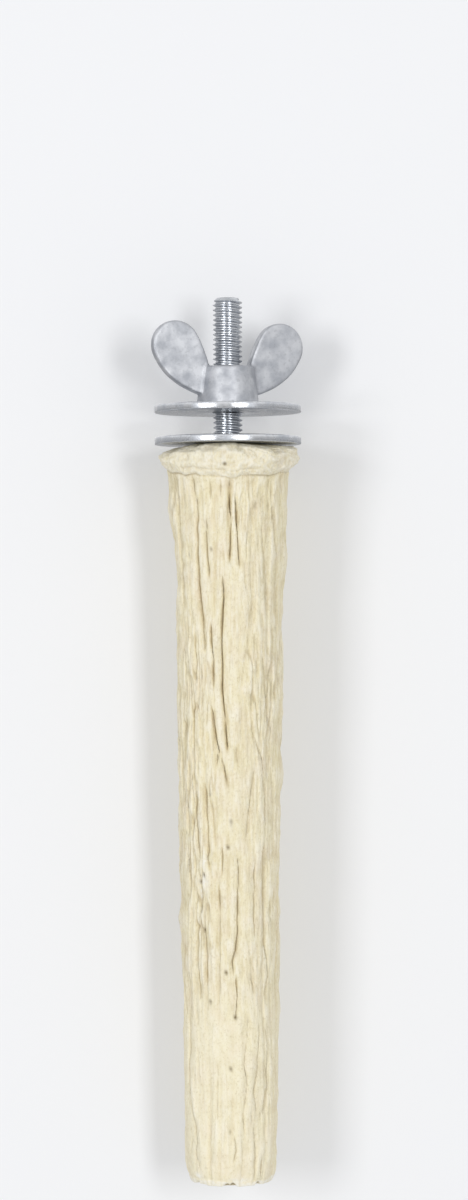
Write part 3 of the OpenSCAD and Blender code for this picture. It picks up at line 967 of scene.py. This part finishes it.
def bolt_thread(angle):
    """The thread: each ring keeps to one point of the profile as it winds down."""
    top_z = STUD_END_Z - END_DOME
    bottom_z = HEAD_TOP_Z - THREAD_SET
    shank_r = BOLT_D / 2
    rings = []
    for pitch in range(-1, int((STUD_END_Z - bottom_z) / PITCH) + 3):
        for phase, cut in THREAD_SHARES:
            z = STUD_END_Z - (pitch + phase + angle / 360) * PITCH
            r = shank_r - THREAD_DEPTH * cut
            chamfered = shank_r - STUD_CHAMFER + np.clip(top_z - z, 0, None)
            r = np.minimum(r, chamfered)
            r = np.where(z <= bottom_z, shank_r - SHANK_CLEAR, r)
            rings.append(ring_at(angle, r, np.clip(z, bottom_z, top_z)))
    return np.stack(rings)


def bolt_foot(angle):
    """The plain shank in the cement, and the hexagon head with its chamfered rim."""
    head_z = BOLT_BOTTOM_Z + BOLT_HEAD_H
    hexagon = head_r(angle)
    rim = np.minimum(hexagon, BOLT_HEAD_W / 2)
    shank_r = BOLT_D / 2 - SHANK_CLEAR
    places = (
        (shank_r, HEAD_TOP_Z - THREAD_SET), (shank_r, head_z), (hexagon - HEAD_EDGE, head_z),
        (hexagon, head_z - HEAD_EDGE),
        (hexagon, BOLT_BOTTOM_Z + (hexagon - rim) * HEAD_RIM_SLOPE + HEAD_RIM_H),
        (rim, BOLT_BOTTOM_Z), (CENTRE_R, BOLT_BOTTOM_Z),
    )
    return np.stack([ring_at(angle, r, z) for r, z in places])


def make_bolt(material):
    angle = np.arange(BOLT_COLUMNS) * 360 / BOLT_COLUMNS
    mesh = cleaned([
        lofted_mesh("threaded_bolt", bolt_end(angle), last_cap=False),
        lofted_mesh("thread", bolt_thread(angle), False, False, len(THREAD_SHARES)),
        lofted_mesh("foot", bolt_foot(angle), first_cap=False),
    ], BOLT_CRISP_ANGLE)
    add_piece(mesh, material, "perch", "anchor_bolt")


def make_washer(material, name, bottom_z, seed, body, node):
    """A stamped washer: rolled on its upper edges, with a sharp burr on its lower ones."""
    u = np.arange(WASHER_COLUMNS) * FURROW_COUNT / WASHER_COLUMNS
    angle = u * 360 / FURROW_COUNT
    outer, inner = WASHER_D / 2, BOLT_D / 2 + WASHER_PLAY
    nick = sum(depth * np.abs(grain(u, 0, cells, seed + n))
               for n, (depth, cells) in enumerate(NICKS))
    top = WASHER_T - FACE_PLAY
    section = [
        (inner, HOLE_BURR[-1][1]),
        *((inner + off, top - down) for off, down in HOLE_ROLL),
        (between(inner, outer, TOP_FACE_SHARE), top),
        *((outer - off, top - down) for off, down in RIM_ROLL),
        *((outer - off, top * share) for off, share in RIM_SIDE),
        *((outer - off, up) for off, up in RIM_BURR),
        (between(inner, outer, LOWER_FACE_SHARE), 0),
        *((inner + off, up) for off, up in HOLE_BURR),
    ]
    rings = [
        ring_at(angle, r - nick * rising(r - outer, *NICK_RISE), bottom_z + z) for r, z in section]
    mesh = cleaned([lofted_mesh(name, np.stack(rings), False, False)], WASHER_CRISP_ANGLE)
    add_piece(mesh, material, body, node)


def curve_point(a, b, c, t):
    return (1 - t) ** 2 * a + 2 * t * (1 - t) * b + t ** 2 * c


def wing_outline():
    """A wing seen from the side: distances from the axis, and heights above the washer."""
    centre = np.array([WING_SPAN / 2 - EAR_R, WING_H - EAR_R])

    def ear(angle):
        turn = math.radians(angle)
        return centre + EAR_R * np.array([math.cos(turn), math.sin(turn)])

    def heading(angle):
        return np.array([-math.sin(math.radians(angle)), math.cos(math.radians(angle))])

    root_x = (BOLT_D / 2 + NUT_PLAY + BOSS_TOP_D / 2) / 2
    foot = np.array([root_x, WING_FOOT_H])
    top = np.array([root_x, BOSS_H - WING_FOOT_H / 2])
    start, end = EAR_ANGLES
    lower_bend = ear(start) - LOWER_REACH_SHARE * EAR_R * heading(start)
    upper_bend = ear(end) + UPPER_REACH_SHARE * EAR_R * heading(end)
    steps = np.linspace(0, 1, WING_POINTS)
    points = [curve_point(foot, lower_bend, ear(start), t) for t in steps[:-1]]
    points += [ear(angle) for angle in np.linspace(start, end, EAR_POINTS)]
    points += [curve_point(ear(end), upper_bend, top, t) for t in steps[1:]]
    return points


def prism(points, half_thickness, side):
    """A wing from its outline, thinner towards the ear."""
    verts, count = [], len(points)
    thinning = WING_SPAN / 2 - BOSS_TOP_D / 2
    for sign in (-1, 1):
        for x, z in points:
            thin = between(*WING_SHARES, rising(x - BOSS_TOP_D / 2, -WING_ROOT, thinning))
            verts.append((side * x, sign * half_thickness * thin, z))
    faces = [tuple(range(count)), tuple(range(2 * count - 1, count - 1, -1))]
    faces += [(i, i + count, (i + 1) % count + count, (i + 1) % count) for i in range(count)]
    return verts, faces


def cone(r_bottom, r_top, z_bottom, z_top, columns):
    turns = [2 * math.pi * i / columns for i in range(columns)]
    verts = [(r * math.cos(turn), r * math.sin(turn), z)
             for r, z in ((r_bottom, z_bottom), (r_top, z_top)) for turn in turns]
    faces = [tuple(range(columns - 1, -1, -1)), tuple(range(columns, 2 * columns))]
    for i in range(columns):
        following = (i + 1) % columns
        faces.append((i, following, following + columns, i + columns))
    return verts, faces


def solid_object(name, verts, faces):
    mesh = bpy.data.meshes.new(name)
    mesh.from_pydata([Vector(v) * MM for v in verts], [], faces)
    work = bmesh.new()
    work.from_mesh(mesh)
    bmesh.ops.recalc_face_normals(work, faces=work.faces)
    work.to_mesh(mesh)
    work.free()
    return placed(name, mesh)


def with_modifiers(item):
    """The mesh that an object's modifiers give it. The object goes."""
    bpy.context.view_layer.update()
    evaluated = item.evaluated_get(bpy.context.evaluated_depsgraph_get())
    mesh = bpy.data.meshes.new_from_object(evaluated)
    bpy.data.objects.remove(item, do_unlink=True)
    return mesh


def joined(parts):
    """One list of points and faces from several."""
    verts, faces = [], []
    for part_verts, part_faces in parts:
        faces += [tuple(i + len(verts) for i in face) for face in part_faces]
        verts += part_verts
    return verts, faces


def nut_casting():
    """The boss and wings of the nut, melted into one skin."""
    skin = NUT_SKIN
    boss_r, top_r = BOSS_D / 2 - skin, BOSS_TOP_D / 2 - skin
    parts = [cone(boss_r, top_r, skin, BOSS_H - skin, BOSS_COLUMNS)]
    parts += [prism(wing_outline(), WING_T / 2 - WING_SKIN, side) for side in (-1, 1)]
    body = solid_object("casting", *joined(parts))
    melt = body.modifiers.new("melt", "REMESH")
    melt.mode = "VOXEL"
    melt.voxel_size = NUT_VOXEL * MM
    smooth = body.modifiers.new("smooth", "SMOOTH")
    smooth.factor = NUT_SMOOTHING
    smooth.iterations = NUT_SMOOTH_ROUNDS
    return with_modifiers(body)


def bored(casting):
    """The casting with its bore, which is countersunk at both ends."""
    cast = placed("casting", casting)
    bore_r = BOLT_D / 2 + NUT_PLAY
    sink_r = bore_r + BORE_SINK + OVERRUN
    low, high = -OVERRUN, BOSS_H + OVERRUN
    cones = (
        ("bore", bore_r, bore_r, low, high),
        ("sink_low", sink_r, bore_r, low, BORE_SINK),
        ("sink_high", bore_r, sink_r, BOSS_H - BORE_SINK, high),
    )
    tools = [solid_object(name, *cone(*sizes, BORE_COLUMNS)) for name, *sizes in cones]
    for tool in tools:
        cut = cast.modifiers.new("cut", "BOOLEAN")
        cut.operation = "DIFFERENCE"
        cut.solver = "EXACT"
        cut.object = tool
    mesh = with_modifiers(cast)
    for tool in tools:
        bpy.data.objects.remove(tool, do_unlink=True)
    return mesh


def make_wing_nut(material):
    """The cast nut in its place on the stud, turned as at rest."""
    mesh = bored(nut_casting())
    mesh.name = "wing_nut_cast"
    cosine, sine = math.cos(math.radians(NUT_ANGLE)), math.sin(math.radians(NUT_ANGLE))
    for vert in mesh.vertices:
        x, y, z = vert.co
        vert.co = (x * cosine - y * sine, x * sine + y * cosine, max(z, 0) + NUT_Z * MM)
    mesh = cleaned([mesh], NUT_CRISP_ANGLE)
    add_piece(mesh, material, "wing_nut", "wing_nut")


class Nodes:
    """A short way to write the nodes of a material or a world."""

    def __init__(self, owner):
        owner.use_nodes = True
        self.owner = owner
        self.tree = owner.node_tree
        self.tree.nodes.clear()

    def node(self, kind, inputs=None, **settings):
        made = self.tree.nodes.new("ShaderNode" + kind)
        for key, value in settings.items():
            setattr(made, key, value)
        for key, value in (inputs or {}).items():
            if isinstance(value, bpy.types.NodeSocket):
                self.tree.links.new(value, made.inputs[key])
            else:
                made.inputs[key].default_value = value
        return made

    def noise(self, scale, detail, roughness, *levels):
        coordinates = self.node("TexCoord").outputs["Object"]
        mapping = self.node("Mapping", {"Vector": coordinates, "Scale": [v / MM for v in scale]})
        made = self.node("TexNoise", {
            "Vector": mapping.outputs[0], "Scale": 1, "Detail": detail, "Roughness": roughness,
        }).outputs["Fac"]
        return self.remap(made, *levels) if levels else made

    def remap(self, value, low, high, to_low=0.0, to_high=1.0):
        inputs = {"Value": value, "From Min": low, "From Max": high,
                  "To Min": to_low, "To Max": to_high}
        return self.node("MapRange", inputs, clamp=True).outputs[0]

    def math(self, operation, a, b):
        return self.node("Math", {0: a, 1: b}, operation=operation).outputs[0]

    def mix(self, factor, a, b):
        # Inputs 6 and 7 are the two colours, and output 2 is the mixed one
        return self.node("Mix", {0: factor, 6: a, 7: b}, data_type="RGBA").outputs[2]

    def bump(self, height, strength, distance, **below):
        """Relief in millimetres, on top of the Normal below it."""
        inputs = {"Height": height, "Strength": strength, "Distance": distance * MM, **below}
        return self.node("Bump", inputs).outputs[0]

    def finished(self, surface):
        """The material, with the output of a shader as its surface."""
        self.node("OutputMaterial", {"Surface": surface.outputs[0]})
        return self.owner


def colour(red, green, blue):
    """A colour written in display values from 0 to 255, as linear values."""
    linear = [((v / 255 + 0.055) / 1.055) ** 2.4 for v in (red, green, blue)]
    return (*linear, 1.0)


def cement_material():
    n = Nodes(bpy.data.materials.new("cast_cement"))
    fields = {
        name: n.node("Attribute", attribute_name=name).outputs["Fac"] for name in CEMENT_LOOKS}
    thready = n.remap(fields["calm"], 0.0, 1.0, 1.0, CALM_THREADS)
    fields.update((name, n.noise(*values)) for name, values in CEMENT_NOISES.items())
    fields["powder"] = n.math("MULTIPLY", fields["dust"], fields["powder"])
    tone = n.mix(fields["blotches"], *[colour(*ground) for ground in GROUND_TONES])
    for name, start, full, strength, coat in CEMENT_COATS:
        amount = n.remap(fields[name], start, full, 0.0, strength)
        if name == "threads":
            amount = n.math("MULTIPLY", amount, thready)
        tone = n.mix(amount, tone, colour(*coat))
    relief = n.bump(fields["sand"], *SAND_BUMP)
    thread_height = n.math("MULTIPLY", fields["threads"], thready)
    return n.finished(n.node("BsdfPrincipled", {
        "Base Color": tone,
        "Roughness": n.remap(fields["sand"], *CEMENT_ROUGHNESS),
        "Specular IOR Level": CEMENT_SPECULAR,
        "Normal": n.bump(thread_height, *THREAD_BUMP, Normal=relief),
    }))


def zinc_material(name, clear_tone, dull_tone, clear_roughness, dull_roughness):
    """Zinc plate, with clouds in its tone, fine rubbed lines and a soft grain."""
    n = Nodes(bpy.data.materials.new(name))
    clouds = n.noise(*CLOUD_NOISE)
    spots = n.noise(*SPOT_NOISE)
    lines = n.noise(*LINE_NOISE)
    tone = n.mix(clouds, colour(*clear_tone), colour(*dull_tone))
    tone = n.mix(n.math("MULTIPLY", spots, SPOT_SHARE), tone, colour(*SPOT_TONE))
    rough = n.remap(clouds, 0.0, 1.0, clear_roughness, dull_roughness)
    relief = n.bump(n.noise(*GRIT_NOISE), *GRIT_BUMP)
    return n.finished(n.node("BsdfPrincipled", {
        "Base Color": tone,
        "Metallic": 1.0,
        "Roughness": n.math("ADD", rough, n.remap(lines, *LINE_ROUGHNESS)),
        "Normal": n.bump(lines, *LINE_BUMP, Normal=relief),
    }))


def paper_material():
    """Pale paper, which is see-through from behind."""
    n = Nodes(bpy.data.materials.new("pale_paper"))
    paper = n.node("BsdfPrincipled", {
        "Base Color": PAPER_COLOUR, "Roughness": PAPER_ROUGHNESS, "Specular IOR Level": 0.0})
    return n.finished(n.node("MixShader", {
        0: n.node("NewGeometry").outputs["Backfacing"],
        1: paper.outputs[0],
        2: n.node("BsdfTransparent").outputs[0],
    }))


def make_stage():
    """A sheet of pale paper behind the rod, which takes its shadow."""
    size, behind = PAPER_HALF_SIZE * MM, PAPER_Y * MM
    mesh = bpy.data.meshes.new("paper")
    corners = [
        (-size, behind, -size), (size, behind, -size), (size, behind, size), (-size, behind, size)]
    mesh.from_pydata(corners, [], [(0, 1, 2, 3)])
    mesh.materials.append(paper_material())
    paper = placed("paper", mesh)
    paper.visible_diffuse = False
    paper.visible_shadow = False
    paper.visible_glossy = False


def make_lamp(name, angle, tilt, width, power, glints):
    turn, rise = math.radians(angle), math.radians(tilt)
    direction = Vector((
        math.sin(turn) * math.cos(rise), -math.cos(turn) * math.cos(rise), math.sin(rise)))
    light = bpy.data.lights.new(name, "AREA")
    light.shape = "RECTANGLE"
    light.size, light.size_y = width, LAMP_H
    light.energy = power
    lamp = placed(name, light)
    lamp.visible_glossy = glints
    lamp.location = Vector((0, 0, LAMP_AIM_Z * MM)) + direction * LAMP_DISTANCE
    lamp.rotation_euler = (-direction).to_track_quat("-Z", "Y").to_euler()


def make_world():
    """Soft light all round, in which metal sees bands, so that its shape reads."""
    world = bpy.data.worlds.new("soft_studio")
    bpy.context.scene.world = world
    n = Nodes(world)
    height = n.node("SeparateXYZ", {0: n.node("TexCoord").outputs["Generated"]}).outputs[2]
    bands = n.node("ValToRGB", {0: n.remap(height, -1.0, 1.0)})
    ramp = bands.color_ramp
    for element, level in zip(ramp.elements, SKY_ENDS):
        element.color = (level, level, level, 1.0)
    for place, level in SKY_BANDS:
        ramp.elements.new(place).color = (level, level, level * BAND_BLUE, 1.0)
    seen = n.node("Background", {0: colour(*SKY_TONE)})
    light = n.node("Background", {0: (1.0, 1.0, 1.0, 1.0), 1: SKY_LIGHT})
    shine = n.node("Background", {0: bands.outputs[0]})
    path = n.node("LightPath")
    unseen = n.node("MixShader", {
        0: path.outputs["Is Glossy Ray"], 1: light.outputs[0], 2: shine.outputs[0]})
    mixed = n.node("MixShader", {
        0: path.outputs["Is Camera Ray"], 1: unseen.outputs[0], 2: seen.outputs[0]})
    n.node("OutputWorld", {0: mixed.outputs[0]})


def make_camera():
    """The photograph's view: level, square to the rod, and leaning as it does."""
    camera = bpy.data.cameras.new("camera")
    camera.lens = camera.sensor_width / 2 / (PHOTO_H * PHOTO_MM / 2 / CAMERA_DISTANCE)
    camera.clip_start, camera.clip_end = CAMERA_CLIP
    holder = placed("camera", camera)
    holder.location = Vector((CAMERA_X, -CAMERA_DISTANCE, HEAD_TOP_Z - CAMERA_S)) * MM
    holder.rotation_euler = (math.radians(90), LEAN, 0)
    bpy.context.scene.camera = holder


make_cement(cement_material())
make_bolt(zinc_material(*BOLT_PLATE))
washer_plate = zinc_material(*WASHER_PLATE)
for washer_values in WASHERS:
    make_washer(washer_plate, *washer_values)
make_wing_nut(zinc_material(*NUT_PLATE))

make_stage()
for lamp_values in LAMPS:
    make_lamp(*lamp_values)
make_world()
make_camera()

bpy.context.scene.view_settings.view_transform = "Standard"
